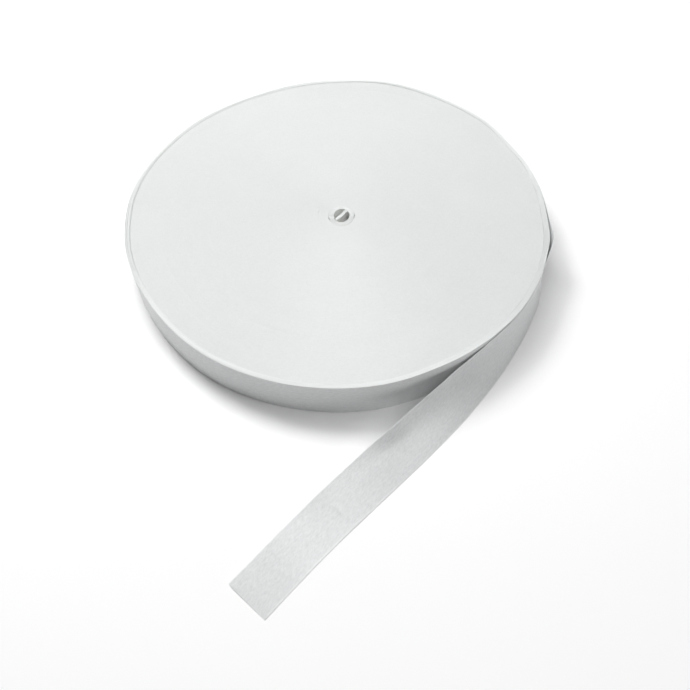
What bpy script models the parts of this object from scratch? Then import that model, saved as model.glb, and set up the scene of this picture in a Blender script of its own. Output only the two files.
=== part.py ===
"""A flat coreless roll of white satin ribbon, lying on one of its wound faces, with its outer end pulled loose.

Metres, +Z up. The origin is on the winding axis, at the face that the roll rests on.
A bearing is an angle in degrees about +Z, counter-clockwise from +X as seen from above.
The ribbon is one length: wound_roll is its wound form, with the fine turns closed up into one solid,
and loose_end is the stretch that has come away from the rim. It stands on edge where it leaves,
bulges out in a kink, then leans over towards the roll until it lies flat at its cut end.
"""
import math

import bmesh
import bpy
from mathutils import Vector

MM = 0.001

RIBBON_WIDTH = 25 * MM
SHEET_THICKNESS = 1 * MM
ROLL_RADIUS = 130 * MM
OUTLINE_CENTRE = Vector((-2.3, 4.7)) * MM
RIM_BEVEL = 0.5 * MM

BEARING_STEPS = 96
LOOSE_STEPS = 132
LOOSE_STRIPS = 4

BORE_RADIUS = 4.8 * MM
INNER_END_THICKNESS = 1.6 * MM
INNER_END_BEARING = 50
INNER_END_BEND = 0.5 * MM
BORE_STEPS = 14
CUT_BEYOND = 2 * MM

LINE_HALF_WIDTH = 0.45 * MM
SLIT_BEARINGS = (146, 216)
SLIT_DEPTH = 18 * MM
SLIT_LEAST = 0.3 * MM

CORNER_RADIUS = 2.5 * MM

# How far the wound outline swells out of its true circle, row by row round the roll.
# bearing in degrees, swell in mm
OUTLINE_SWELL = (
    (19, -0.9),
    (28, -1.4),
    (42, 0.7),
    (54, 0.4),
    (75, 2.0),
    (95, -0.5),
    (117, -2.2),
    (140, -0.3),
    (170, 1.8),
    (185, 0.9),
    (212, -1.1),
    (240, 0.0),
    (278, 0.5),
    (298, -0.8),
    (312, -1.1),
    (324, -0.5),
    (338, -0.7),
    (347, -1.0),
    (358, -2.4),
    (374, -1.9),
)

# The soft dip of the top face round the bore.
# share of the outline's radius, depth in mm
DIP = (
    (0.045, 0.9),
    (0.075, 0.6),
    (0.12, 0.15),
    (0.17, 0.0),
)

# Turns of the top face that stand a little lower than their neighbours.
# share of the outline's radius, depth in mm
LOW_TURNS = (
    (0.25, 0.30),
    (0.40, 0.25),
    (0.55, 0.30),
    (0.66, 0.25),
    (0.765, 0.45),
    (0.86, 0.30),
    (0.93, 0.35),
)

# The outer turns that stand apart on the left of the roll, from the outermost one inwards.
# wall of closed-up turns in mm, widest slit inside it in mm
LOOSENED_TURNS = (
    (1.1, 1.0),
    (1.2, 1.2),
)

# The loose end, from the rim to the cut. The foot is the edge of the ribbon that stays on the surface.
# bearing in degrees, distance of the foot from the winding axis in mm, lean towards the roll in degrees
LOOSE_END = (
    (14.5, 127.9, 0.0),
    (9.0, 128.1, 0.6),
    (3.0, 128.8, 2.2),
    (-3.0, 130.3, 4.2),
    (-8.5, 131.5, 4.4),
    (-12.5, 130.7, 4.0),
    (-18.0, 129.5, 6.0),
    (-24.5, 129.1, 7.0),
    (-30.0, 129.5, 8.0),
    (-35.2, 130.5, 10.8),
    (-40.5, 132.0, 15.5),
    (-45.6, 134.2, 22.0),
    (-50.6, 136.8, 29.5),
    (-55.5, 140.0, 37.0),
    (-60.2, 143.7, 45.0),
    (-64.6, 148.0, 51.0),
    (-72.9, 158.1, 61.0),
    (-80.2, 170.4, 69.0),
    (-86.5, 185.0, 78.0),
    (-91.8, 201.7, 86.5),
    (-96.05, 220.1, 90.0),
    (-99.45, 239.5, 90.0),
)

SATIN_WHITE = (0.86, 0.87, 0.865, 1.0)
SATIN_WHITE_LOOSE = (0.84, 0.85, 0.86, 1.0)


def clear_scene():
    for obj in list(bpy.data.objects):
        bpy.data.objects.remove(obj, do_unlink=True)


def new_collection(name, rendered=True):
    collection = bpy.data.collections.new(name)
    collection.hide_render = not rendered
    bpy.context.scene.collection.children.link(collection)
    return collection


def satin(name, colour):
    """Closely woven polyester satin: pale, soft in its gloss, with no metal in it."""
    material = bpy.data.materials.new(name)
    material.use_nodes = True
    shader = material.node_tree.nodes["Principled BSDF"]
    shader.inputs["Base Color"].default_value = colour
    shader.inputs["Roughness"].default_value = 0.5
    shader.inputs["Metallic"].default_value = 0.0
    material.diffuse_color = colour
    return material


def new_object(name, bm, collection, material=None):
    mesh = bpy.data.meshes.new(name)
    bm.to_mesh(mesh)
    bm.free()
    obj = bpy.data.objects.new(name, mesh)
    collection.objects.link(obj)
    if material:
        mesh.materials.append(material)
    return obj


def towards(bearing):
    return Vector((math.cos(math.radians(bearing)), math.sin(math.radians(bearing))))


def eased(share):
    """0 to 1 with a level start and end."""
    share = min(max(share, 0.0), 1.0)
    return share * share * (3 - 2 * share)


def swell_at(bearing):
    """The outline's swell in metres, eased from row to row."""
    first = OUTLINE_SWELL[0][0]
    bearing = first + (bearing - first) % 360
    rows = OUTLINE_SWELL + ((first + 360, OUTLINE_SWELL[0][1]),)
    for (start, low), (end, high) in zip(rows, rows[1:]):
        if bearing <= end:
            return (low + (high - low) * eased((bearing - start) / (end - start))) * MM
    return 0.0


def outline_radius(bearing):
    """Distance from the winding axis to the rim: a circle about OUTLINE_CENTRE, with its swell."""
    along = OUTLINE_CENTRE.dot(towards(bearing))
    circle = along + math.sqrt(ROLL_RADIUS**2 - OUTLINE_CENTRE.length_squared + along**2)
    return circle + swell_at(bearing)


def slit_share(bearing):
    """0 where the outer turns are tight, 1 where they stand furthest apart."""
    start, end = SLIT_BEARINGS
    along = ((bearing % 360) - start) / (end - start)
    return eased(1 - abs(2 * along - 1)) if 0 < along < 1 else 0.0


def ring(bm, radius_of, height_of):
    """One closed ring of vertices, with its radius and height worked out at each bearing."""
    verts = []
    for step in range(BEARING_STEPS):
        bearing = 360 * step / BEARING_STEPS
        place = towards(bearing) * radius_of(bearing)
        verts.append(bm.verts.new((place.x, place.y, height_of(bearing))))
    return verts


def share_ring(bm, share, height):
    return ring(bm, lambda bearing: share * outline_radius(bearing), lambda bearing: height)


def inset_ring(bm, inset, height):
    return ring(bm, lambda bearing: outline_radius(bearing) - inset, lambda bearing: height)


def slit_rings(bm, inset, widest):
    """Four rings down and up the sides of a crescent slit, which starts inset from the rim."""
    floor_narrowing = 0.2 * SLIT_LEAST

    def width(bearing):
        return SLIT_LEAST + (widest - SLIT_LEAST) * slit_share(bearing)

    def top(bearing):
        return RIBBON_WIDTH

    def floor(bearing):
        return RIBBON_WIDTH - SLIT_DEPTH * slit_share(bearing)

    def inner(bearing):
        return outline_radius(bearing) - inset - width(bearing)

    def outer(bearing):
        return outline_radius(bearing) - inset

    return [
        ring(bm, inner, top),
        ring(bm, lambda bearing: inner(bearing) + floor_narrowing, floor),
        ring(bm, lambda bearing: outer(bearing) - floor_narrowing, floor),
        ring(bm, outer, top),
    ]


def low_turn_rings(bm, share, depth):
    """Three rings across one turn of the face that lies lower than the rest."""
    half = LINE_HALF_WIDTH / ROLL_RADIUS
    return [
        share_ring(bm, share - half, RIBBON_WIDTH),
        share_ring(bm, share, RIBBON_WIDTH - depth),
        share_ring(bm, share + half, RIBBON_WIDTH),
    ]


def join_rings(bm, inner, outer):
    for k in range(BEARING_STEPS):
        after = (k + 1) % BEARING_STEPS
        bm.faces.new((inner[k], outer[k], outer[after], inner[after]))


def cap_ring(bm, verts, height):
    """Closes the middle of a face with a fan round the winding axis."""
    centre = bm.verts.new((0, 0, height))
    for k in range(BEARING_STEPS):
        bm.faces.new((centre, verts[k], verts[(k + 1) % BEARING_STEPS]))


def wound_form(collection, material):
    """The wound ribbon, lofted from ring to ring: out over the top face, down the rim, in along the bottom."""
    bm = bmesh.new()
    rings = [share_ring(bm, share, RIBBON_WIDTH - depth * MM) for share, depth in DIP]
    for share, depth in LOW_TURNS:
        rings += low_turn_rings(bm, share, depth * MM)
    inset = 0.0
    slits = []
    for wall, widest in LOOSENED_TURNS:
        inset += wall * MM
        slits = slit_rings(bm, inset, widest * MM) + slits
        inset += widest * MM
    rings += slits
    rings += [
        inset_ring(bm, RIM_BEVEL, RIBBON_WIDTH),
        inset_ring(bm, 0.0, RIBBON_WIDTH - RIM_BEVEL),
        inset_ring(bm, 0.0, RIM_BEVEL),
        inset_ring(bm, RIM_BEVEL, 0.0),
        share_ring(bm, DIP[0][0], 0.0),
    ]
    for inner, outer in zip(rings, rings[1:]):
        join_rings(bm, inner, outer)
    cap_ring(bm, rings[0], RIBBON_WIDTH - DIP[0][1] * MM)
    cap_ring(bm, rings[-1], 0.0)
    bmesh.ops.recalc_face_normals(bm, faces=bm.faces)
    roll = new_object("wound_roll", bm, collection, material)
    roll.data.shade_smooth()
    roll.data.set_sharp_from_angle(angle=math.radians(25))
    return roll


def half_bore(name, side, collection):
    """One of the two half-moon openings that the ribbon's inner end leaves in the bore."""
    across = towards(INNER_END_BEARING + 90 * side)
    along = towards(INNER_END_BEARING)
    half_wall = INNER_END_THICKNESS / 2
    reach = math.sqrt(BORE_RADIUS**2 - half_wall**2)
    start = math.degrees(math.asin(half_wall / BORE_RADIUS))
    points = []
    for step in range(BORE_STEPS + 1):
        turn = math.radians(start + (180 - 2 * start) * step / BORE_STEPS)
        points.append((along * math.cos(turn) + across * math.sin(turn)) * BORE_RADIUS)
    for step in range(1, BORE_STEPS):
        share = 2 * step / BORE_STEPS - 1
        bend = side * INNER_END_BEND * math.sin(math.pi * share)
        points.append(along * (share * reach) + across * (half_wall + bend))
    bm = bmesh.new()
    outline = [bm.verts.new((p.x, p.y, -CUT_BEYOND)) for p in points]
    face = bm.faces.new(outline)
    grown = bmesh.ops.extrude_face_region(bm, geom=[face])
    top = [item for item in grown["geom"] if isinstance(item, bmesh.types.BMVert)]
    bmesh.ops.translate(bm, verts=top, vec=(0, 0, RIBBON_WIDTH + 2 * CUT_BEYOND))
    bmesh.ops.recalc_face_normals(bm, faces=bm.faces)
    cutter = new_object(name, bm, collection)
    cutter.hide_render = True
    cutter.display_type = "WIRE"
    return cutter


def cut(obj, cutter):
    boolean = obj.modifiers.new(cutter.name, "BOOLEAN")
    boolean.operation = "DIFFERENCE"
    boolean.solver = "EXACT"
    boolean.object = cutter


def foot_rows():
    """The table of the loose end as (x, y, lean) in metres and radians."""
    rows = []
    for bearing, radius, lean in LOOSE_END:
        foot = towards(bearing) * radius * MM
        rows.append(Vector((foot.x, foot.y, math.radians(lean))))
    return rows


def smooth_route(rows, steps):
    """Points spaced evenly by length along a smooth curve through the rows."""
    fine = 24
    curve = []
    for k in range(len(rows) - 1):
        before, start, end, after = (rows[min(max(k + j, 0), len(rows) - 1)] for j in (-1, 0, 1, 2))
        for step in range(fine):
            t = step / fine
            curve.append(
                0.5 * (2 * start + (end - before) * t
                       + (2 * before - 5 * start + 4 * end - after) * t**2
                       + (3 * start - before - 3 * end + after) * t**3)
            )
    curve.append(rows[-1])
    reach = [0.0]
    for a, b in zip(curve, curve[1:]):
        reach.append(reach[-1] + (b.xy - a.xy).length)
    route = []
    k = 0
    for step in range(steps + 1):
        goal = reach[-1] * step / steps
        while k < len(curve) - 2 and reach[k + 1] < goal:
            k += 1
        share = (goal - reach[k]) / (reach[k + 1] - reach[k])
        route.append(curve[k].lerp(curve[k + 1], share))
    return route, reach[-1]


def loose_sheet(collection, material):
    """A flat strip of ribbon, moved point by point onto its route and given its thickness."""
    route, length = smooth_route(foot_rows(), LOOSE_STEPS)
    bm = bmesh.new()
    bmesh.ops.create_grid(bm, x_segments=LOOSE_STEPS, y_segments=LOOSE_STRIPS, size=0.5)
    for vert in bm.verts:
        along = vert.co.x + 0.5
        across = vert.co.y + 0.5
        step = round(along * LOOSE_STEPS)
        heading = (route[min(step + 1, LOOSE_STEPS)].xy - route[max(step - 1, 0)].xy).normalized()
        to_roll = Vector((heading.y, -heading.x, 0))
        foot = route[step]
        lean = min(foot.z, math.pi / 2)
        rise = SHEET_THICKNESS / 2 * math.sin(lean)
        place = Vector((foot.x, foot.y, rise))
        place += across * RIBBON_WIDTH * (math.cos(lean) * Vector((0, 0, 1)) + math.sin(lean) * to_roll)
        corner = CORNER_RADIUS - (1 - across) * RIBBON_WIDTH
        if step == LOOSE_STEPS and corner > 0:
            drawn_in = CORNER_RADIUS - math.sqrt(max(CORNER_RADIUS**2 - corner**2, 0.0))
            place -= Vector((heading.x, heading.y, 0)) * min(drawn_in, 0.6 * length / LOOSE_STEPS)
        vert.co = place
    bmesh.ops.recalc_face_normals(bm, faces=bm.faces)
    sheet = new_object("loose_end", bm, collection, material)
    sheet.data.shade_smooth()
    thicken = sheet.modifiers.new("ribbon thickness", "SOLIDIFY")
    thicken.thickness = SHEET_THICKNESS
    thicken.offset = 0.0
    thicken.use_even_offset = True
    return sheet


def build():
    clear_scene()
    parts = new_collection("satin_ribbon_roll")
    cutters = new_collection("cutters", rendered=False)
    roll = wound_form(parts, satin("wound satin", SATIN_WHITE))
    for side in (1, -1):
        cut(roll, half_bore(f"half_bore_{'left' if side > 0 else 'right'}", side, cutters))
    loose_sheet(parts, satin("loose satin", SATIN_WHITE_LOOSE))


build()
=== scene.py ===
"""The looks of a flat coreless roll of white satin ribbon.

It lies on one of its wound faces, with its outer end pulled loose.
Metres, +Z up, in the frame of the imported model: the origin is on the winding axis, where the roll rests.
A bearing is an angle in degrees about +Z, counter-clockwise from +X as seen from above.
The ribbon winds inwards counter-clockwise. It is made in three pieces that follow on from each other:
inner_turns round the bore, wound_turns up to near the rim, and outer_ribbon, which is the last turns at the
rim and runs on into the loose end.
"""
import math
import random

import bpy
import numpy as np
from mathutils import Matrix, Vector


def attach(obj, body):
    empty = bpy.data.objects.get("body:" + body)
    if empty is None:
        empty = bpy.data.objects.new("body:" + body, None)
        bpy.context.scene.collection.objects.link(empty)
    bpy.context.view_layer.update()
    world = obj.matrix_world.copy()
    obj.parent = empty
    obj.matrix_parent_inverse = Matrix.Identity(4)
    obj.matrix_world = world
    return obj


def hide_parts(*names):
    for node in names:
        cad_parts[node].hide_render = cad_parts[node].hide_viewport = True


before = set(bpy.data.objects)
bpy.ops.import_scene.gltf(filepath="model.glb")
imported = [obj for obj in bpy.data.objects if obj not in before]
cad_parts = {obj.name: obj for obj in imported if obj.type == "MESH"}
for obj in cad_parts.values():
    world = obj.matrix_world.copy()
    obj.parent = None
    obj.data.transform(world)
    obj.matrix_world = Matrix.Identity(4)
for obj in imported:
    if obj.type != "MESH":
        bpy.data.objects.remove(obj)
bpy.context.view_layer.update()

MM = 0.001

# Sizes that the solids have too.
RIBBON_WIDTH = 25 * MM
ROLL_RADIUS = 130 * MM
OUTLINE_CENTRE = Vector((-2.3, 4.7)) * MM
INNER_END_BEARING = 50
SLIT_BEARINGS = (146, 216)

# The outermost turn, from where the loose end leaves it, against a round one.
# bearing in degrees, swell in mm
OUTLINE_SWELL = (
    (14.5, -0.95),
    (19, -0.9),
    (28, -1.4),
    (42, 0.7),
    (54, 0.4),
    (75, 2.0),
    (95, -0.5),
    (117, -2.2),
    (140, -0.3),
    (170, 1.8),
    (185, 0.9),
    (212, -1.1),
    (240, 0.0),
    (278, 0.5),
    (298, -0.8),
    (312, -1.1),
    (324, -0.5),
    (338, -0.7),
    (347, -1.0),
    (358, -2.4),
    (374, -1.9),
    (374.5, -1.9),
)

# Near the loose end the ribbon swells further than the solids, which leave room there for a thicker sheet.
# bearing in degrees, added swell in mm
ADDED_SWELL = (
    (290, 0.0),
    (304, 0.5),
    (312, 0.8),
    (318, 0.85),
    (335, 0.7),
    (342, 0.6),
    (350.5, 1.2),
    (366, 0.9),
    (374.5, 0.79),
)
# The coil takes up this share of the added swell, and the gaps between the outer turns take up the rest.
ADDED_SHARE_OF_COIL = 0.4

# The soft dip of the top face round the bore.
# distance from the axis in mm, depth in mm
DIP = (
    (0.0, 1.0),
    (5.8, 0.9),
    (9.7, 0.6),
    (15.6, 0.15),
    (22.0, 0.0),
    (200.0, 0.0),
)
DIP_SAMPLED_TO = 140 * MM
DIP_SAMPLES = 1401

# The slow and the fine unevenness of the top face: height, and how far it wanders in shares of the radius.
BAND_HEIGHT = 0.05 * MM
BAND_WANDER = 0.02
FINE_HEIGHT = 0.007 * MM
FINE_WANDER = 0.01
# how far it wanders, times round the roll, phase in radians
WANDER = (
    (0.35, 1, 1.1),
    (0.25, 2, 0.4),
)

# Stretches of turn on the top face that stand a little apart in height from their neighbours.
# share of the outline's radius, drop in mm, middle bearing, half the stretch in degrees
TURN_MARKS = (
    (0.345, 0.10, 81, 20),
    (0.63, 0.08, 191, 20),
    (0.765, 0.15, 249, 14),
    (0.765, 0.13, 281, 10),
    (0.86, 0.08, 210, 30),
    (0.93, 0.12, 60, 40),
    (0.55, 0.07, 320, 40),
    (0.133, -0.20, 145, 14),
    (0.107, 0.50, 167, 9),
)
# How far to either side a marked stretch reaches.
MARK_WIDTH = 0.45 * MM

# The loose end, from the rim to the cut. The foot is the edge of the ribbon that stays on the surface.
# bearing in degrees, distance of the foot from the winding axis in mm, lean towards the roll in degrees
LOOSE_END = (
    (14.5, 127.9, 0.0),
    (9.0, 127.5, 0.0),
    (3.0, 127.0, 0.0),
    (-2.0, 126.5, -0.7),
    (-5.5, 126.8, -1.3),
    (-8.8, 127.5, -2.0),
    (-11.0, 127.6, -2.0),
    (-14.0, 127.3, -0.4),
    (-17.5, 127.5, 2.4),
    (-21.0, 128.4, 5.0),
    (-24.5, 129.2, 7.0),
    (-30.0, 129.6, 8.0),
    (-35.2, 130.6, 10.8),
    (-40.5, 132.0, 15.5),
    (-45.6, 134.2, 22.0),
    (-50.6, 136.8, 29.5),
    (-55.5, 140.0, 37.0),
    (-60.2, 143.7, 45.0),
    (-64.6, 148.0, 51.0),
    (-72.9, 158.1, 61.0),
    (-80.2, 170.4, 69.0),
    (-86.5, 185.0, 78.0),
    (-91.8, 201.7, 86.5),
    (-96.05, 220.1, 90.0),
    (-99.45, 239.5, 90.0),
)

# How the loose end departs from straight cross-sections.
# Places are distances from the cut and shares of the width, counted from the foot.
SAG = 1.6 * MM
SAG_TO_EDGE = 1.4
SAG_FROM_CUT = (85 * MM, 125 * MM)
# Stretches of the upper edge that curl up or droop.
# middle from the cut in mm, reach to either side in mm, share of the width where it starts, rise in mm
CURLS = (
    (275, 17, 0.84, 0.9),
    (108, 10, 0.68, 1.5),
    (80, 15, 0.55, -0.6),
)
# A small pucker across the ribbon.
PUCKER_FROM_CUT = 62 * MM
PUCKER_ACROSS = 0.44
PUCKER_HALF_SHARE = 0.2
PUCKER_SLANT = 0.18
PUCKER_REACH = 1.3 * MM
PUCKER_HEIGHT = 0.3 * MM
# Where the ribbon lies down, its far edge stands unevenly off the surface, on average by half of this.
UNEVEN = 0.4 * MM
# Painted shade: the satin's colour is darker from the cut to the first distance, and like the rest from the
# second on.
PAINTED_SHADE_FROM_CUT = (16 * MM, 34 * MM)

# The ribbon itself and how its turns lie.
THICKNESS = 0.27 * MM
SNUG_GAP = 0.03 * MM
OUTER_TURNS = 9
COIL_TURNS = 430
COIL_INNER_RADIUS = 8.0 * MM
COIL_CLEARANCE = 0.04 * MM
FIRST_BEARING = LOOSE_END[0][0]
# Degrees past FIRST_BEARING over which the outermost turn draws in, and over which the gap inside it closes.
DRAW_IN_DEGREES = 10
EASE_IN_DEGREES = 25
# The lower edges of the outer turns stand unevenly off the surface, by about this much.
# The lift fades out over the last stretch before the loose end.
RIM_LIFT = 0.12 * MM
RIM_LIFT_ENDS = 40 * MM
RIM_STEP_DEGREES = 2
COIL_STEP_DEGREES = 4
TURN_RELIEF = 0.05 * MM
# The hidden underside has one ridge for this many turns.
UNDERSIDE_EVERY = 8
LOOSE_STEPS = 480
RIBBON_STRIPS = 14
CURVE_STEPS = 24
# The upper corner of the cut is worn round, but draws in by at most this share of the last step.
CORNER_RADIUS = 2.5 * MM
CORNER_SHARE_OF_STEP = 0.6

# Gaps at the loosened left side of the rim, by the number of the turn outside the gap.
# turn, widest added gap in mm
LOOSENED = (
    (0, 0.14),
    (2, 0.07),
    (3, 0.17),
    (5, 0.07),
    (7, 0.18),
    (8, 0.05),
)

# The inner end: turns from the coil's inside to the bore, then a strip folded back and forth across the bore.
INNER_TURNS = 8
INNER_STEP_DEGREES = 7.5
BORE_HALF_WIDTH = 4.75 * MM
BORE_HALF_LENGTH = 5.5 * MM
BORE_LENGTH_BEARING = 80
BORE_SHIFT = 0.7 * MM
# Places where the inner turns stand off the coil.
# bearing in degrees, half the stretch in degrees, width of the gap in mm
INNER_GAPS = (
    (194, 15, 0.50),
    (356, 13, 0.45),
)
# These gaps open within this share of the inner turns, counted from the coil.
INNER_GAP_STARTS = 1 / 20
# The upper edges of the inner turns stand unevenly low, by about this much.
INNER_UNEVEN = 0.03 * MM
STRIP_LAYERS = 6
STRIP_PITCH = 0.32 * MM
STRIP_FIRST_ACROSS = 1.6 * MM
STRIP_START_ALONG = -3.3 * MM
STRIP_CLEARANCE = 0.1 * MM
STRIP_BOW = 0.15 * MM
STRIP_BOW_PHASE = 0.8
STRIP_STEPS = 8
FOLD_STEPS = 6
# The last turn ends this far before the strip starts, and a bend leads from one to the other.
LEAVE_SHORT_DEGREES = 12
BEND_STEPS = 16

# The camera, which looks down at the roll from in front.
CAMERA_PLACE = Vector((0.00056, -0.33678, 0.36450))
CAMERA_DOWN_DEGREES = 54.88
CAMERA_ROLL_DEGREES = -1.15
CAMERA_LENS_MM = 39.87
CAMERA_SENSOR_MM = 36
CAMERA_SEES_FROM = 0.01

# Satin. A gloss on threads spreads across them, a quarter turn from the way they run.
QUARTER_TURN = 0.25
GLOSS_IOR = 1.6
LOOSE_COLOUR = (0.855, 0.868, 0.87)
LOOSE_ROUGHNESS = 0.4
LOOSE_SPECULAR = 1.0
LOOSE_ANISOTROPY = 0.6
WOUND_COLOUR = (0.793, 0.813, 0.803)
WOUND_ROUGHNESS = 0.36
WOUND_SPECULAR = 1.0
WOUND_ANISOTROPY = 0.85
# The innermost ribbon is whiter, to stand for the light that passes through its thin layers.
INNER_COLOUR = (0.96, 0.97, 0.95)
EDGE_COLOUR = (0.86, 0.88, 0.87)
EDGE_SPECULAR = 0.5

# The weave: a five-end satin, whose ties move on by two picks from one long thread to the next.
THREAD_PITCH = 0.2 * MM
SATIN_REPEAT = 5.0
SATIN_STEP = 2.0
# The woven border, as distances from the ribbon's edge between which it ends.
SELVAGE = (0.5 * MM, 0.9 * MM)
# How the grain lies: its shift along the ribbon for each step across, and how much it is narrowed across.
GRAIN_SLANT = 0.9
GRAIN_NARROWED = 2.2
# Streaks change this much more slowly along the ribbon than across it.
STREAK_DRAWN_OUT = 0.09

# Light. A level is the share of the floor's brightness that a light gives, where 1 shows as pure white.
LIGHT_DISTANCE = 1.5
LIGHT_WIDTH_DEGREES = 24
# name, bearing and elevation it comes from in degrees, level, shows in the gloss
SOFT_LIGHTS = (
    ("key", 135, 48, 0.42, False),
    ("high key", 120, 60, 0.28, False),
    ("back", 90, 74, 0.165, True),
    ("overhead", 0, 85, 0.09, False),
    ("front", 300, 66, 0.07, False),
    ("side", 330, 50, 0.125, False),
)
FLOOR_WHITE = 0.98
FLOOR_GLOW = 0.03
FLOOR_SIDE = 6.0
FLOOR_DROP = 0.05 * MM
# Distances from the middle of the floor between which it turns evenly white by itself.
FLOOR_FADES = (0.35, 1.3)


def towards(bearing):
    return Vector((math.cos(math.radians(bearing)), math.sin(math.radians(bearing))))


def eased(share):
    """0 to 1 with a level start and end."""
    share = min(max(share, 0.0), 1.0)
    return share * share * (3 - 2 * share)


def table_at(rows, place):
    """The second column of a table where its first column is at place, eased from row to row."""
    for (start, low), (end, high) in zip(rows, rows[1:]):
        if place <= end:
            return low + (high - low) * eased((place - start) / (end - start))
    return rows[-1][1]


def circle_radius(bearing):
    along = OUTLINE_CENTRE.dot(towards(bearing))
    return along + math.sqrt(ROLL_RADIUS**2 - OUTLINE_CENTRE.length_squared + along**2)


def slit_share(bearing):
    """0 where the outer turns are tight, 1 where they stand furthest apart."""
    start, end = SLIT_BEARINGS
    along = ((bearing % 360) - start) / (end - start)
    return eased(1 - abs(2 * along - 1)) if 0 < along < 1 else 0.0


def added_swell(bearing):
    return table_at(ADDED_SWELL, bearing) if bearing > ADDED_SWELL[0][0] else 0.0


def rim_radius(bearing):
    """Middle of the outermost turn, for a bearing from FIRST_BEARING to a full turn on."""
    drawn_in = THICKNESS / 2 * eased((bearing - FIRST_BEARING) / DRAW_IN_DEGREES)
    swell = table_at(OUTLINE_SWELL, bearing) + added_swell(bearing)
    return circle_radius(bearing) + swell * MM - drawn_in


# Room inside the outermost turn where the loose end starts, beyond a snug fit on the turn that is next there.
FIRST_GAP = rim_radius(FIRST_BEARING) - rim_radius(FIRST_BEARING + 360) - THICKNESS - SNUG_GAP


def gap_inside(turn, bearing):
    """The gap between one of the outer turns and the next one in."""
    gap = SNUG_GAP + dict(LOOSENED).get(turn, 0.0) * MM * slit_share(bearing)
    gap += added_swell(bearing) * MM * (1 - ADDED_SHARE_OF_COIL) / OUTER_TURNS
    if turn == 0:
        gap += max(FIRST_GAP, 0.0) * (1 - eased((bearing - FIRST_BEARING) / EASE_IN_DEGREES))
    return gap


def turn_radius(turn, bearing):
    """Middle of an outer turn, counted inwards from the rim."""
    return rim_radius(bearing) - sum(THICKNESS + gap_inside(k, bearing) for k in range(turn))


def coil_radius(bearing):
    """Outline of the coil that the outer turns close round. It meets itself after a full turn."""
    drift = (THICKNESS + SNUG_GAP) * (bearing - FIRST_BEARING) / 360
    middle = turn_radius(OUTER_TURNS - 1, bearing)
    gap = gap_inside(OUTER_TURNS - 1, bearing) - SNUG_GAP + COIL_CLEARANCE
    return middle + drift - THICKNESS / 2 - gap


# Ranges of the random draws: a wave's rate against an even series of rates, and its size.
NOISE_RATES = (0.85, 1.15)
NOISE_SIZES = (0.5, 1.0)


def soft_noise(seed, count, slowest, fastest):
    """A smooth wavy function of one number: sines from a slow to a fast rate, mostly within 1 either way."""
    draws = random.Random(seed)
    waves = []
    for k in range(count):
        rate = slowest * (fastest / slowest) ** (k / max(count - 1, 1)) * draws.uniform(*NOISE_RATES)
        waves.append((rate, draws.uniform(0, math.tau), draws.uniform(*NOISE_SIZES)))
    total = math.sqrt(sum(size * size for _, _, size in waves))

    def at(place):
        return sum(size * np.sin(rate * place + phase) for rate, phase, size in waves) / total

    return at


TOP_BANDS = soft_noise(11, 9, 14, 60)
TOP_FINE = soft_noise(12, 14, 120, 900)
RIM_WAVES = soft_noise(21, 7, 6, 60)
LOOSE_WAVES = soft_noise(23, 5, 60, 260)
INNER_WAVES = soft_noise(32, 5, 30, 300)


def new_piece(name, verts, faces, materials, replaced=None):
    """A mesh object that rides on the part's one body."""
    mesh = bpy.data.meshes.new(name)
    mesh.from_pydata(verts, [], faces)
    mesh.validate()
    for material in materials:
        mesh.materials.append(material)
    mesh.shade_smooth()
    obj = bpy.data.objects.new(name, mesh)
    bpy.context.scene.collection.objects.link(obj)
    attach(obj, "root")
    if replaced:
        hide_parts(replaced)
    return obj


def add_uv(obj, name, flat):
    """A UV map from one (u, v) pair for each vertex."""
    corners = np.empty(len(obj.data.loops), np.int32)
    obj.data.loops.foreach_get("vertex_index", corners)
    layer = obj.data.uv_layers.new(name=name)
    layer.data.foreach_set("uv", np.asarray(flat, np.float32)[corners].ravel())


# The coil between the inner and the outer turns.


def coil_heights(radii, shares, bearings):
    """Height of the top face: its dip, the slow unevenness of the winding, and a few marked turns."""
    sampled = np.linspace(0, DIP_SAMPLED_TO, DIP_SAMPLES)
    depth = np.array([table_at(DIP, radius / MM) for radius in sampled])
    top = RIBBON_WIDTH - np.interp(radii, sampled, depth) * MM
    wander = sum(size * np.sin(times * np.radians(bearings) + phase) for size, times, phase in WANDER)
    top += BAND_HEIGHT * TOP_BANDS(shares + BAND_WANDER * wander)
    top += FINE_HEIGHT * TOP_FINE(shares + FINE_WANDER * wander)
    for share, drop, middle, half in TURN_MARKS:
        apart = np.abs((bearings - middle + 180) % 360 - 180) / half
        stretch = np.clip(1 - apart, 0, 1)
        stretch = stretch * stretch * (3 - 2 * stretch)
        top -= drop * MM * stretch * np.exp(-(((shares - share) * ROLL_RADIUS / MARK_WIDTH) ** 2))
    return top


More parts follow.
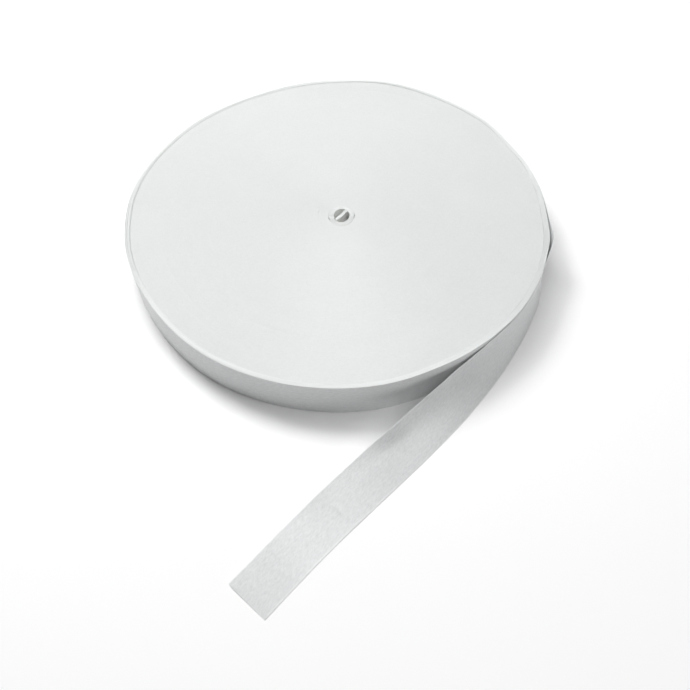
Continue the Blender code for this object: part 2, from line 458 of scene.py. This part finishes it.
def coil_face(turns, underside):
    """Spiral of ridges, one for each turn: (points, faces, UV pairs, loop at the rim, loop at the bore)."""
    steps = round(360 / COIL_STEP_DEGREES)
    valley_count = (turns + 1) * steps + 1
    crest_count = turns * steps + 1
    outline = np.array([coil_radius(FIRST_BEARING + COIL_STEP_DEGREES * k) for k in range(steps + 1)])

    def spiral(count, offset):
        k = np.arange(count)
        turns_in = (k + offset) / (turns + 1) / steps
        bearings = FIRST_BEARING + COIL_STEP_DEGREES * (k % steps)
        rim = outline[k % steps]
        radii = rim + (COIL_INNER_RADIUS - rim) * turns_in
        angles = np.radians(bearings)
        heights = np.zeros(count) if underside else coil_heights(radii, radii / rim, bearings)
        return np.stack([radii * np.cos(angles), radii * np.sin(angles), heights], axis=1)

    valleys = spiral(valley_count, 0)
    crests = spiral(crest_count, steps / 2)
    valleys[:, 2] += TURN_RELIEF if underside else -TURN_RELIEF
    points = np.concatenate([valleys, crests])
    faces = []
    for k in range(turns * steps):
        crest = valley_count + k
        faces.append((k, crest, crest + 1, k + 1))
        faces.append((crest, k + steps, k + steps + 1, crest + 1))
    rim_loop = [*range(steps + 1), valley_count]
    bore_loop = [*range(turns * steps, (turns + 1) * steps + 1), valley_count + crest_count - 1]
    turned = np.concatenate([np.arange(valley_count), np.arange(crest_count)]) / steps
    ridge = np.concatenate([np.zeros(valley_count), np.full(crest_count, 0.5)])
    flat = np.stack([(turned + ridge) * (THICKNESS + SNUG_GAP), turned], axis=1)
    return points, faces, flat, rim_loop, bore_loop


def wound_turns(material):
    """The coil as one closed body, with a ridge for each turn of ribbon on its faces."""
    top, top_faces, top_flat, top_rim, top_bore = coil_face(COIL_TURNS, False)
    under, under_faces, under_flat, under_rim, under_bore = coil_face(COIL_TURNS // UNDERSIDE_EVERY, True)
    first = len(top)
    faces = top_faces + [tuple(first + k for k in reversed(face)) for face in under_faces]
    for upper, lower, outward in ((top_rim, under_rim, True), (top_bore, under_bore, False)):
        for k in range(len(upper)):
            after = (k + 1) % len(upper)
            wall = (upper[k], first + lower[k], first + lower[after], upper[after])
            faces.append(wall if outward else wall[::-1])
    obj = new_piece("wound_turns", np.concatenate([top, under]).tolist(), faces, [material],
                    "wound_roll")
    add_uv(obj, "windings", np.concatenate([top_flat, under_flat]))


# Lengths of ribbon that stand on edge or lie down.


def keep_rim_sharp(mesh):
    """Marks the edges that only one face has, so that the cut and selvage sides shade as flat faces."""
    used = np.zeros(len(mesh.edges), np.int32)
    loop_edges = np.empty(len(mesh.loops), np.int32)
    mesh.loops.foreach_get("edge_index", loop_edges)
    np.add.at(used, loop_edges, 1)
    mesh.attributes.new("sharp_edge", "BOOLEAN", "EDGE").data.foreach_set("value", used == 1)


def smooth_route(rows, steps):
    """Points spaced evenly by length along a smooth curve through the rows."""
    curve = []
    for k in range(len(rows) - 1):
        before, start, end, after = (rows[min(max(k + j, 0), len(rows) - 1)] for j in (-1, 0, 1, 2))
        for step in range(CURVE_STEPS):
            t = step / CURVE_STEPS
            straight = 2 * start + (end - before) * t
            bent = (2 * before - 5 * start + 4 * end - after) * t**2
            turning = (3 * start - before - 3 * end + after) * t**3
            curve.append(0.5 * (straight + bent + turning))
    curve.append(rows[-1])
    reach = [0.0]
    for a, b in zip(curve, curve[1:]):
        reach.append(reach[-1] + (b.xy - a.xy).length)
    route = []
    k = 0
    for step in range(steps + 1):
        goal = reach[-1] * step / steps
        while k < len(curve) - 2 and reach[k + 1] < goal:
            k += 1
        share = (goal - reach[k]) / (reach[k + 1] - reach[k])
        route.append(curve[k].lerp(curve[k + 1], share))
    return route


def stand_ribbon(name, route, width_at, materials, replaced=None, ends_loose=False):
    """A strip of ribbon on a route of (x, y, lean) rows, with its thickness and a length-and-width UV map.

    width_at gives the width and the lift of the foot. A loose end also ripples, and its upper corner is
    rounded off.
    """
    count = len(route)
    along = [0.0]
    for a, b in zip(route, route[1:]):
        along.append(along[-1] + (b.xy - a.xy).length)
    verts = []
    flat = []
    for step, foot in enumerate(route):
        heading = (route[min(step + 1, count - 1)].xy - route[max(step - 1, 0)].xy).normalized()
        lean = min(foot.z, math.pi / 2)
        width, lift = width_at(along[step], foot.xy)
        slope = math.cos(lean) * Vector((0, 0, 1)) + math.sin(lean) * Vector((heading.y, -heading.x, 0))
        normal = Vector((heading.x, heading.y, 0)).cross(slope)
        for strip in range(RIBBON_STRIPS + 1):
            across = strip / RIBBON_STRIPS
            place = Vector((foot.x, foot.y, THICKNESS / 2 * math.sin(lean) + lift))
            place += across * width * slope
            if ends_loose:
                place += normal * ripple(along[-1] - along[step], across, lean)
            corner = CORNER_RADIUS - (1 - across) * width
            if ends_loose and step == count - 1 and corner > 0:
                drawn_in = CORNER_RADIUS - math.sqrt(max(CORNER_RADIUS**2 - corner**2, 0.0))
                most = CORNER_SHARE_OF_STEP * (along[-1] - along[-2])
                place -= Vector((heading.x, heading.y, 0)) * min(drawn_in, most)
            verts.append(place)
            flat.append((along[step] - along[-1], across * width))
    faces = []
    row = RIBBON_STRIPS + 1
    for step in range(count - 1):
        for strip in range(RIBBON_STRIPS):
            k = step * row + strip
            faces.append((k, k + 1, k + row + 1, k + row))
    obj = new_piece(name, verts, faces, materials, replaced)
    add_uv(obj, "ribbon", flat)
    keep_rim_sharp(obj.data)
    thicken = obj.modifiers.new("ribbon thickness", "SOLIDIFY")
    thicken.thickness = THICKNESS
    thicken.offset = 0.0
    thicken.use_even_offset = True
    thicken.material_offset_rim = 1
    return obj, along[-1]


def ripple(from_cut, across, lean):
    """How far the loose end stands off its straight cross-sections, away from its visible face."""
    start, full = SAG_FROM_CUT
    off = SAG * math.sin(math.pi * across**SAG_TO_EDGE) * max(math.sin(2 * lean), 0.0)
    off *= eased((from_cut - start) / (full - start))
    for middle, half, start, height in CURLS:
        rising = eased((across - start) / (1 - start))
        off -= height * MM * rising * math.exp(-(((from_cut / MM - middle) / half) ** 2))
    slanted = from_cut - PUCKER_FROM_CUT - PUCKER_SLANT * (across - PUCKER_ACROSS) * RIBBON_WIDTH
    window = eased(1 - abs(across - PUCKER_ACROSS) / PUCKER_HALF_SHARE)
    off -= PUCKER_HEIGHT * window * math.exp(-((slanted / PUCKER_REACH) ** 2))
    lift = max(1 + float(LOOSE_WAVES(from_cut)), 0.0) / 2
    return off - UNEVEN * math.sin(max(lean, 0.0)) * lift * across


def outer_ribbon(materials):
    """The last turns at the rim, and the loose end that they run on into."""
    steps = round(360 / RIM_STEP_DEGREES)
    route = []
    for turn in reversed(range(OUTER_TURNS)):
        for step in range(steps, 0, -1):
            bearing = FIRST_BEARING + RIM_STEP_DEGREES * step
            foot = towards(bearing) * turn_radius(turn, bearing)
            route.append(Vector((foot.x, foot.y, 0)))
    wound_length = sum((b.xy - a.xy).length for a, b in zip(route, route[1:]))
    rows = []
    for bearing, radius, lean in LOOSE_END:
        foot = towards(bearing) * radius * MM
        rows.append(Vector((foot.x, foot.y, math.radians(lean))))
    route += smooth_route(rows, LOOSE_STEPS)

    def width_at(along, foot):
        wound = eased((wound_length - along) / RIM_LIFT_ENDS)
        return RIBBON_WIDTH, wound * RIM_LIFT * max(1 + float(RIM_WAVES(along)), 0.0)

    obj, length = stand_ribbon("outer_ribbon", route, width_at, materials,
                               "loose_end", ends_loose=True)


def bore_radius(bearing):
    """Middle of the innermost turn, which leaves a slightly long bore, a little behind the axis."""
    turned = math.radians(bearing - BORE_LENGTH_BEARING)
    half_width = BORE_HALF_WIDTH + THICKNESS / 2
    half_length = BORE_HALF_LENGTH + THICKNESS / 2
    even = 1 / math.hypot(math.cos(turned) / half_length, math.sin(turned) / half_width)
    return even + BORE_SHIFT * math.sin(math.radians(bearing))


def inner_radius(bearing, share):
    """Middle of the inner turns, where share runs from 0 at the coil to 1 at the bore."""
    pushed = 0.0
    for middle, half, widest in INNER_GAPS:
        apart = abs((bearing - middle + 180) % 360 - 180) / half
        pushed += widest * MM * eased(1 - apart)
    coil_pitch = (ROLL_RADIUS - COIL_INNER_RADIUS) / (COIL_TURNS + 1)
    outside = COIL_INNER_RADIUS + coil_pitch - THICKNESS / 2 - SNUG_GAP
    evenly = outside + (bore_radius(bearing) - outside) * share
    return evenly - pushed * eased(share / INNER_GAP_STARTS) * (1 - share)


def wall_along(across, sign):
    """How far the strip can reach, along its bearing or against it, before it meets the wall of the bore."""
    far = 0.0
    while far < COIL_INNER_RADIUS:
        place = towards(INNER_END_BEARING) * sign * far + towards(INNER_END_BEARING + 90) * across
        wall = bore_radius(math.degrees(math.atan2(place.y, place.x))) - THICKNESS / 2
        if place.length > wall - STRIP_CLEARANCE - STRIP_PITCH:
            break
        far += STRIP_CLEARANCE
    return far


def folded_strip():
    """The strip across the bore, as (along, across) points from the last turn's wall."""
    points = []
    for layer in range(STRIP_LAYERS):
        across = STRIP_FIRST_ACROSS - layer * STRIP_PITCH
        ends = [sign * wall_along(across, sign) for sign in (-1, 1)]
        start = STRIP_START_ALONG if layer == 0 else ends[0]
        outward = 1 if layer % 2 == 0 else -1
        straight = []
        for step in range(STRIP_STEPS + 1):
            share = step / STRIP_STEPS
            along = start + (ends[1] - start) * share
            bow = STRIP_BOW * math.sin(math.tau * share + STRIP_BOW_PHASE) * math.sin(math.pi * share)
            straight.append((along, across + bow))
        points += straight[::outward]
        if layer < STRIP_LAYERS - 1:
            edge = points[-1]
            for step in range(1, FOLD_STEPS):
                turned = math.pi * step / FOLD_STEPS
                bulge = outward * STRIP_PITCH / 2 * math.sin(turned)
                points.append((edge[0] + bulge, edge[1] - STRIP_PITCH / 2 * (1 - math.cos(turned))))
    return points


def inner_turns(materials):
    """The first turns that were wound, with the end that is folded up across the bore."""
    along_end = towards(INNER_END_BEARING)
    across_end = towards(INNER_END_BEARING + 90)
    strip = [along_end * along + across_end * across for along, across in folded_strip()]
    leave = math.degrees(math.atan2(strip[0].y, strip[0].x)) % 360
    steps = round((leave - LEAVE_SHORT_DEGREES - FIRST_BEARING) / INNER_STEP_DEGREES)
    last = INNER_TURNS * round(360 / INNER_STEP_DEGREES) + steps
    route = []
    for k in range(last + 1):
        bearing = FIRST_BEARING + INNER_STEP_DEGREES * k
        foot = towards(bearing) * inner_radius(bearing, k / last)
        route.append(Vector((foot.x, foot.y, 0)))
    bend = [route[-2], route[-1]] + [Vector((p.x, p.y, 0)) for p in strip[:3]]
    route = route[:-2] + smooth_route(bend, BEND_STEPS) + [Vector((p.x, p.y, 0)) for p in strip[3:]]

    def width_at(along, foot):
        height = RIBBON_WIDTH - table_at(DIP, foot.length / MM) * MM
        return height - INNER_UNEVEN * (1 + float(INNER_WAVES(along))), 0.0

    obj, length = stand_ribbon("inner_turns", route, width_at, materials)


# Materials.


def new_material(name, colour, roughness, specular):
    """A pale Principled material: (material, its nodes, its shader)."""
    material = bpy.data.materials.new(name)
    material.use_nodes = True
    shader = material.node_tree.nodes["Principled BSDF"]
    shader.inputs["Base Color"].default_value = (*colour, 1.0)
    shader.inputs["Roughness"].default_value = roughness
    shader.inputs["Specular IOR Level"].default_value = specular
    shader.inputs["IOR"].default_value = GLOSS_IOR
    return material, material.node_tree, shader


def add_node(tree, kind, inputs, **settings):
    """A node with its settings, and with each input set to a value or linked to another node's socket."""
    made = tree.nodes.new(kind)
    for name, value in settings.items():
        setattr(made, name, value)
    for name, value in inputs.items():
        if isinstance(value, bpy.types.NodeSocket):
            tree.links.new(value, made.inputs[name])
        else:
            made.inputs[name].default_value = value
    return made


def maths(tree, operation, *values):
    return add_node(tree, "ShaderNodeMath", dict(enumerate(values)), operation=operation).outputs[0]


def point_at(tree, x, y, z):
    return add_node(tree, "ShaderNodeCombineXYZ", {"X": x, "Y": y, "Z": z}).outputs[0]


def noise(tree, place, scale, detail, roughness):
    """Smooth noise about 0, from about -0.5 to 0.5."""
    inputs = {"Vector": place, "Scale": scale, "Detail": detail, "Roughness": roughness}
    return maths(tree, "SUBTRACT", add_node(tree, "ShaderNodeTexNoise", inputs).outputs[0], 0.5)


def uv_parts(tree, layer):
    uv = add_node(tree, "ShaderNodeUVMap", {}, uv_map=layer).outputs[0]
    parts = add_node(tree, "ShaderNodeSeparateXYZ", {"Vector": uv}).outputs
    return parts[0], parts[1]


def tinted(tree, colour, amounts):
    """The colour times one plus each of the amounts: (signal, share) rows."""
    level = 1.0
    for signal, share in amounts:
        level = maths(tree, "MULTIPLY_ADD", signal, share, level)
    scaled = add_node(tree, "ShaderNodeVectorMath", {0: colour}, operation="SCALE")
    tree.links.new(level, scaled.inputs["Scale"])
    return scaled.outputs[0]


def bumped(tree, height, distance, before=None):
    inputs = {"Height": height, "Distance": distance, "Strength": 1.0}
    if before:
        inputs["Normal"] = before
    return add_node(tree, "ShaderNodeBump", inputs).outputs[0]


def edge_distance(tree, across):
    """How far a place is from the nearer edge of the ribbon."""
    return maths(tree, "MINIMUM", across, maths(tree, "SUBTRACT", RIBBON_WIDTH, across))


def band(tree, value, start, end):
    """1 below start and 0 above end, smooth between."""
    inputs = {"Value": value, "From Min": start, "From Max": end, "To Min": 1.0, "To Max": 0.0}
    return add_node(tree, "ShaderNodeMapRange", inputs, interpolation_type="SMOOTHSTEP").outputs[0]


def bindings(tree, along, across):
    """The dimples of a five-end satin, where each long float is tied down."""
    thread = maths(tree, "DIVIDE", across, THREAD_PITCH)
    pick = maths(tree, "DIVIDE", along, THREAD_PITCH)
    moved_on = maths(tree, "MULTIPLY", maths(tree, "FLOOR", thread), SATIN_STEP)
    place = maths(tree, "SUBTRACT", maths(tree, "FLOOR", pick), moved_on)
    tied = maths(tree, "LESS_THAN", maths(tree, "FLOORED_MODULO", place, SATIN_REPEAT), 0.5)
    rounded = maths(tree, "SINE", maths(tree, "MULTIPLY", maths(tree, "FRACT", pick), math.pi))
    return maths(tree, "MULTIPLY", tied, rounded)


def threads(tree, across):
    """The round backs of the lengthwise threads."""
    place = maths(tree, "MULTIPLY", maths(tree, "DIVIDE", across, THREAD_PITCH), math.pi)
    return maths(tree, "ABSOLUTE", maths(tree, "SINE", place))


def loose_satin(name, colour):
    """The ribbon's face: long floats lengthwise, a slanting grain, woven selvages and a little mottling."""
    material, tree, shader = new_material(name, colour, LOOSE_ROUGHNESS, LOOSE_SPECULAR)
    along, across = uv_parts(tree, "ribbon")
    shifted = maths(tree, "MULTIPLY_ADD", across, GRAIN_SLANT, along)
    slanted = point_at(tree, shifted, maths(tree, "MULTIPLY", across, GRAIN_NARROWED), 0.0)
    drawn_out = point_at(tree, maths(tree, "MULTIPLY", along, STREAK_DRAWN_OUT), across, 0.0)
    even = point_at(tree, along, across, 0.0)
    grain = noise(tree, slanted, scale=430.0, detail=3.0, roughness=0.65)
    streaks = noise(tree, drawn_out, scale=900.0, detail=3.0, roughness=0.6)
    mottle = noise(tree, even, scale=70.0, detail=2.0, roughness=0.5)
    selvage = band(tree, edge_distance(tree, across), *SELVAGE)
    dimples = bindings(tree, along, across)
    # Painted shade: the colour darkens towards the cut, standing in for the shading of the end.
    painted_shade_at_cut = band(tree, maths(tree, "MULTIPLY", along, -1.0), *PAINTED_SHADE_FROM_CUT)
    amounts = (
        (grain, 0.38),
        (streaks, 0.08),
        (mottle, 0.05),
        (selvage, 0.08),
        (dimples, -0.04),
        (painted_shade_at_cut, -0.09),
    )
    tree.links.new(tinted(tree, colour, amounts), shader.inputs["Base Color"])
    rough = LOOSE_ROUGHNESS
    for signal, share in ((mottle, 0.12), (grain, 0.15)):
        rough = maths(tree, "MULTIPLY_ADD", signal, share, rough)
    tree.links.new(rough, shader.inputs["Roughness"])
    normal = None
    backs = threads(tree, across)
    for signal, height in ((backs, 0.02), (dimples, -0.02), (grain, 0.15), (selvage, 0.05)):
        normal = bumped(tree, signal, height * MM, normal)
    tree.links.new(normal, shader.inputs["Normal"])
    shader.inputs["Anisotropic"].default_value = LOOSE_ANISOTROPY
    shader.inputs["Anisotropic Rotation"].default_value = QUARTER_TURN
    tangent = add_node(tree, "ShaderNodeTangent", {}, direction_type="UV_MAP", uv_map="ribbon").outputs[0]
    tree.links.new(tangent, shader.inputs["Tangent"])
    return material


def edge_satin():
    """The plain edge of one layer of ribbon."""
    return new_material("ribbon edge", EDGE_COLOUR, WOUND_ROUGHNESS, EDGE_SPECULAR)[0]


def wound_satin():
    """The wound face: the edges of hundreds of turns side by side, so its grain runs round the roll."""
    material, tree, shader = new_material("wound satin", WOUND_COLOUR, WOUND_ROUGHNESS, WOUND_SPECULAR)
    inwards, turned = uv_parts(tree, "windings")
    angle = maths(tree, "MULTIPLY", turned, math.tau)
    ring_x = maths(tree, "COSINE", angle)
    ring_y = maths(tree, "SINE", angle)

    def ring_noise(radial, round_about, detail, roughness):
        x = maths(tree, "MULTIPLY", ring_x, round_about)
        y = maths(tree, "MULTIPLY", ring_y, round_about)
        spot = point_at(tree, maths(tree, "MULTIPLY", inwards, radial), x, y)
        return noise(tree, spot, scale=1.0, detail=detail, roughness=roughness)

    lines = ring_noise(radial=1600.0, round_about=2.0, detail=3.0, roughness=0.7)
    ticks = ring_noise(radial=2400.0, round_about=40.0, detail=2.0, roughness=0.6)
    rings = ring_noise(radial=160.0, round_about=1.2, detail=3.0, roughness=0.6)
    place = add_node(tree, "ShaderNodeTexCoord", {}).outputs["Object"]
    mottle = noise(tree, place, scale=45.0, detail=3.0, roughness=0.55)
    grain = noise(tree, place, scale=900.0, detail=1.0, roughness=0.5)
    amounts = (
        (lines, 0.04),
        (ticks, 0.11),
        (rings, 0.02),
        (mottle, 0.035),
        (grain, 0.07),
    )
    tree.links.new(tinted(tree, WOUND_COLOUR, amounts), shader.inputs["Base Color"])
    tree.links.new(maths(tree, "MULTIPLY_ADD", mottle, 0.15, WOUND_ROUGHNESS), shader.inputs["Roughness"])
    normal = bumped(tree, ticks, 0.10 * MM)
    normal = bumped(tree, lines, 0.05 * MM, normal)
    tree.links.new(normal, shader.inputs["Normal"])
    shader.inputs["Anisotropic"].default_value = WOUND_ANISOTROPY
    shader.inputs["Anisotropic Rotation"].default_value = QUARTER_TURN
    tangent = add_node(tree, "ShaderNodeTangent", {}, direction_type="RADIAL", axis="Z").outputs[0]
    tree.links.new(tangent, shader.inputs["Tangent"])
    return material


# The stage.


def floor():
    """The pale surface. Away from the roll it turns white by itself, so that every view has a white stage."""
    mesh = bpy.data.meshes.new("floor")
    half = FLOOR_SIDE / 2
    corners = [(-half, -half, 0), (half, -half, 0), (half, half, 0), (-half, half, 0)]
    mesh.from_pydata(corners, [], [(0, 1, 2, 3)])
    material, tree, shader = new_material("pale floor", (FLOOR_WHITE,) * 3, 1.0, 0.0)
    place = add_node(tree, "ShaderNodeTexCoord", {}).outputs["Object"]
    away = add_node(tree, "ShaderNodeVectorMath", {0: place}, operation="LENGTH").outputs["Value"]
    glow = maths(tree, "SUBTRACT", 1.0 + FLOOR_GLOW, band(tree, away, *FLOOR_FADES))
    shader.inputs["Emission Color"].default_value = (1.0, 1.0, 1.0, 1.0)
    tree.links.new(glow, shader.inputs["Emission Strength"])
    mesh.materials.append(material)
    obj = bpy.data.objects.new("floor", mesh)
    obj.location.z = -FLOOR_DROP
    bpy.context.scene.collection.objects.link(obj)


def lights():
    """Soft lamps near the roll, in white surroundings that only the camera sees."""
    world = bpy.data.worlds.new("white surroundings that give no light")
    world.use_nodes = True
    world.node_tree.nodes["Background"].inputs["Color"].default_value = (1.0, 1.0, 1.0, 1.0)
    bpy.context.scene.world = world
    for ray in ("diffuse", "glossy", "transmission", "scatter"):
        setattr(world.cycles_visibility, ray, False)
    for name, bearing, elevation, level, glossy in SOFT_LIGHTS:
        rise = math.radians(elevation)
        flat = towards(bearing) * math.cos(rise)
        away = Vector((flat.x, flat.y, math.sin(rise)))
        lamp = bpy.data.lights.new(name, "AREA")
        lamp.shape = "DISK"
        lamp.size = 2 * LIGHT_DISTANCE * math.tan(math.radians(LIGHT_WIDTH_DEGREES) / 2)
        lamp.energy = level * math.pi**2 * LIGHT_DISTANCE**2 / math.sin(rise)
        obj = bpy.data.objects.new(name, lamp)
        obj.location = away * LIGHT_DISTANCE
        obj.rotation_euler = away.to_track_quat("Z", "Y").to_euler()
        obj.visible_glossy = glossy
        obj.visible_camera = False
        bpy.context.scene.collection.objects.link(obj)


def camera():
    """The camera at the photograph's angle."""
    data = bpy.data.cameras.new("camera")
    data.sensor_width = CAMERA_SENSOR_MM
    data.lens = CAMERA_LENS_MM
    data.clip_start = CAMERA_SEES_FROM
    obj = bpy.data.objects.new("camera", data)
    tilt = Matrix.Rotation(math.radians(90 - CAMERA_DOWN_DEGREES), 4, "X")
    roll = Matrix.Rotation(math.radians(CAMERA_ROLL_DEGREES), 4, "Z")
    obj.matrix_world = Matrix.Translation(CAMERA_PLACE) @ tilt @ roll
    bpy.context.scene.collection.objects.link(obj)
    bpy.context.scene.camera = obj
    bpy.context.scene.view_settings.view_transform = "Standard"


camera()
lights()
floor()
edge = edge_satin()
wound_turns(wound_satin())
outer_ribbon([loose_satin("loose satin", LOOSE_COLOUR), edge])
inner_turns([loose_satin("inner satin", INNER_COLOUR), edge])
